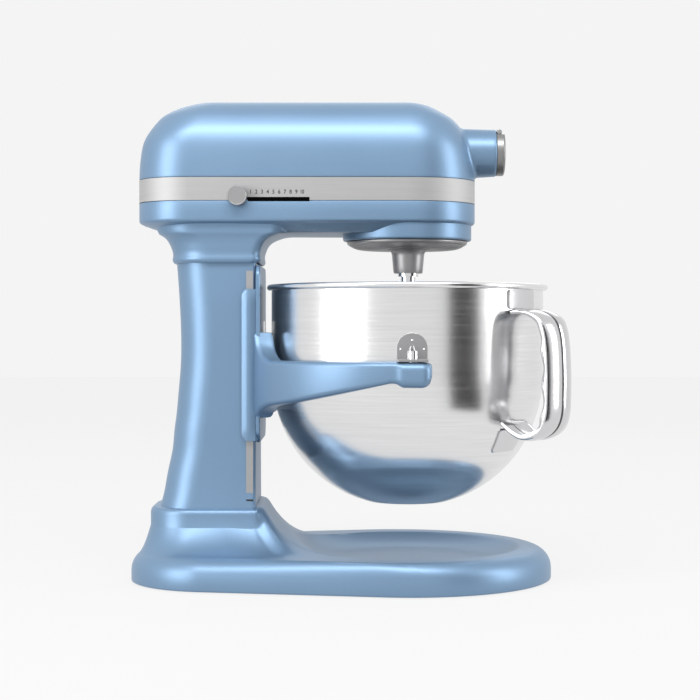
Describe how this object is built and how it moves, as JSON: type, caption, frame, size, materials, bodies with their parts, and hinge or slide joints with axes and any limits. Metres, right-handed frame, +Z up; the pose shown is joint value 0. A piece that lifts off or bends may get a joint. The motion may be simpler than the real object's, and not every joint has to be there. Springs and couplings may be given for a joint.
{
  "type": "stand mixer",
  "caption": "Bowl-lift stand mixer with a round-nosed head, planetary beater shaft, attachment hub, lifting bowl yoke and steel bowl with side handle.",
  "frame": {"origin": "on the table under the bowl and planetary axis, at the bottom of the centre foot", "axes": "+X to the front along the attachment hub, +Z up, +Y to the side with the lift lever"},
  "size_m": [0.3768, 0.287, 0.419],
  "materials": {
    "blue_paint": "satin metallic blue paint",
    "brushed_steel": "brushed, polished at the rim",
    "brushed_trim": "fine horizontal brushing",
    "grey_metal": "satin grey",
    "chrome": "polished",
    "steel": "machined",
    "bronze": "machined",
    "rubber": "matte",
    "black_plastic": "satin black",
    "board": "matte green"
  },
  "bodies": {
    "mixer_frame": {"base_casting": "blue_paint", "rubber_feet": "rubber", "foot_screws": "steel", "column_bolts": "steel", "column_casting": "blue_paint", "cord_inlet": "rubber", "guide_rails": "brushed_trim", "head_lower_housing": "blue_paint", "head_bolts": "steel", "trim_band": "brushed_trim", "head_top_cover": "blue_paint", "hub_sleeve": "chrome", "hub_cover_pin": "chrome", "speed_slot_insert": "black_plastic", "control_board": "board", "ring_gear": "steel", "gear_plate_lower": "grey_metal", "gear_plate_upper": "grey_metal", "gear_bushings": "bronze", "gear_posts": "grey_metal", "gear_screws": "steel", "motor_stator": "steel", "motor_brackets": "grey_metal", "motor_bearings": "steel", "motor_bolts": "steel", "brush_holders": "black_plastic"},
    "support_yoke": {"bowl_support_yoke": "blue_paint", "locating_pins": "chrome", "latch_spring": "brushed_steel"},
    "mixing_bowl": {"bowl": "brushed_steel", "bowl_brackets": "brushed_steel", "bowl_rear_pin": "brushed_steel", "bowl_handle": "brushed_steel"},
    "lever": {"lift_lever": "brushed_steel", "lift_grip": "black_plastic", "lift_shaft": "steel", "lift_crank": "steel"},
    "planetary": {"planetary_housing": "grey_metal", "centre_shaft": "steel", "centre_gear": "steel", "centre_bevel_gear": "steel"},
    "beater_drive": {"planet_pinion": "steel", "beater_shaft": "chrome", "beater_cross_pin": "chrome", "shaft_collar": "chrome"},
    "intermediate": {"intermediate_shaft": "steel", "intermediate_pinion": "steel", "intermediate_bevel_gear": "steel"},
    "armature": {"armature_shaft": "steel", "armature_core": "steel", "commutator": "bronze", "motor_fan": "black_plastic", "motor_pinion": "steel"},
    "hub_drive": {"hub_drive_shaft": "chrome", "hub_bevel_gear": "steel"},
    "cover_flap": {"hub_cover": "brushed_trim"},
    "clamp_knob": {"attachment_knob": "grey_metal"},
    "speed_control": {"speed_knob": "grey_metal", "speed_slider": "black_plastic"}
  },
  "joints": [
    {"name": "bowl_lift", "type": "slide", "parent": "mixer_frame", "child": "support_yoke", "axis": [0, 0, 1], "range_m": [-0.048, 0]},
    {"name": "lift_lever_swing", "type": "hinge", "parent": "mixer_frame", "child": "lever", "pos_m": [-0.155, 0.053, 0.174], "axis": [0, -1, 0], "range_deg": [0, 121]},
    {"name": "bowl_lift_off", "type": "slide", "parent": "support_yoke", "child": "mixing_bowl", "axis": [0, 0, 1], "range_m": [0, 0.012]},
    {"name": "planetary_spin", "type": "hinge", "parent": "mixer_frame", "child": "planetary", "pos_m": [0, 0, 0.29], "axis": [0, 0, 1], "continuous": true},
    {"name": "beater_spin", "type": "hinge", "parent": "planetary", "child": "beater_drive", "pos_m": [0, -0.025, 0.29], "axis": [0, 0, 1], "continuous": true},
    {"name": "intermediate_spin", "type": "hinge", "parent": "mixer_frame", "child": "intermediate", "pos_m": [-0.052, 0, 0.33], "axis": [0, 0, 1], "continuous": true},
    {"name": "motor_spin", "type": "hinge", "parent": "mixer_frame", "child": "armature", "pos_m": [-0.15, 0, 0.356], "axis": [1, 0, 0], "continuous": true},
    {"name": "hub_drive_spin", "type": "hinge", "parent": "mixer_frame", "child": "hub_drive", "pos_m": [0.03, 0, 0.373], "axis": [1, 0, 0], "continuous": true},
    {"name": "hub_cover_swing", "type": "hinge", "parent": "mixer_frame", "child": "cover_flap", "pos_m": [0.0806, 0, 0.3912], "axis": [0, -1, 0], "range_deg": [0, 110]},
    {"name": "clamp_knob_turn", "type": "hinge", "parent": "mixer_frame", "child": "clamp_knob", "pos_m": [0.0659, 0.03, 0.373], "axis": [0, 1, 0], "range_deg": [0, 350]},
    {"name": "speed_slide", "type": "slide", "parent": "mixer_frame", "child": "speed_control", "axis": [1, 0, 0], "range_m": [0, 0.0545]}
  ],
  "couplings": [
    {"joint": "lift_lever_swing", "follows": "bowl_lift", "rad_per_m": -43.633},
    {"joint": "beater_spin", "follows": "planetary_spin", "ratio": -2.6667},
    {"joint": "intermediate_spin", "follows": "planetary_spin", "ratio": -2.25},
    {"joint": "motor_spin", "follows": "planetary_spin", "ratio": 5.25},
    {"joint": "hub_drive_spin", "follows": "planetary_spin", "ratio": 1}
  ]
}
